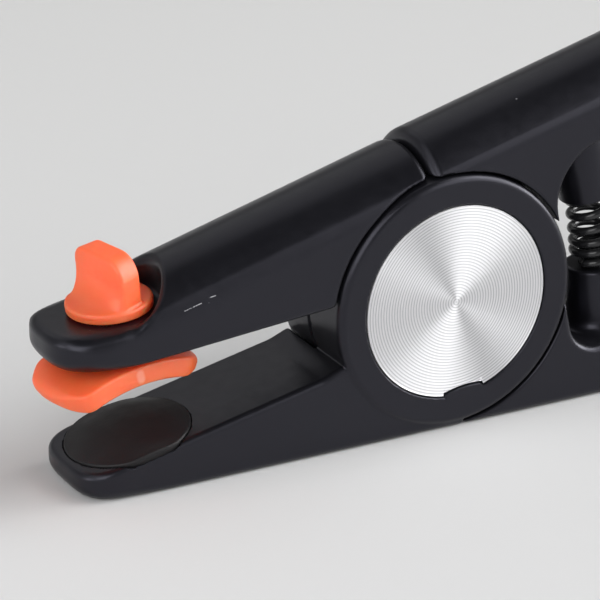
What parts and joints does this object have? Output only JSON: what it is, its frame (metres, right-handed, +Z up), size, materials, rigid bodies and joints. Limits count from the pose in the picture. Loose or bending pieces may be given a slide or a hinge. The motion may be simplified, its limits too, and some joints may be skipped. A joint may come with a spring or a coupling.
{
  "type": "glass running pliers",
  "caption": "Glass running pliers: two crossed levers on a capped pivot, a domed rubber pad, an arched anvil on a swivelling thumb knob, and a return spring between the handles.",
  "frame": {"origin": "middle of the footprint, on the surface that the tool stands on", "axes": "+X from the jaws to the handles along the flat underside, +Y across the thickness along the pivot, +Z up"},
  "size_m": [0.2346, 0.025, 0.0908],
  "materials": {
    "body_black": "satin black coat",
    "pad_rubber": "matte",
    "disc_aluminium": "spun",
    "steel": "satin",
    "bearing_bronze": "satin",
    "thrust_plastic": "matte",
    "orange_plastic": "satin",
    "spring_black": "gloss black"
  },
  "bodies": {
    "lower_jaw_lever": {"lower_jaw": "body_black", "upper_handle": "body_black", "jaw_pad": "pad_rubber", "near_disc": "disc_aluminium", "near_hub_screws": "steel", "pivot_bolt": "steel", "head_washer": "steel", "pivot_bush": "bearing_bronze", "thrust_washer": "thrust_plastic", "pivot_nut": "steel", "nut_washer": "steel", "spring_cup": "body_black", "return_spring": "spring_black"},
    "upper_jaw_lever": {"upper_jaw": "body_black", "lower_handle": "body_black", "far_disc": "disc_aluminium", "far_hub_screws": "steel", "spring_guide": "spring_black", "swivel_sleeve": "bearing_bronze", "friction_ring": "pad_rubber"},
    "swivel_head": {"knob": "orange_plastic", "anvil": "orange_plastic", "anvil_screw": "steel"}
  },
  "joints": [
    {"name": "jaw_close", "type": "hinge", "parent": "lower_jaw_lever", "child": "upper_jaw_lever", "pos_m": [-0.03275, 0, 0.027], "axis": [0, -1, 0], "range_deg": [0, 6.3], "stiffness_Nm_per_rad": 3, "springref_deg": -8.59, "deforming": ["return_spring"]},
    {"name": "head_turn", "type": "hinge", "parent": "upper_jaw_lever", "child": "swivel_head", "pos_m": [-0.10135, 0, 0.03447], "axis": [-0.0872, 0, 0.9962], "continuous": true}
  ]
}
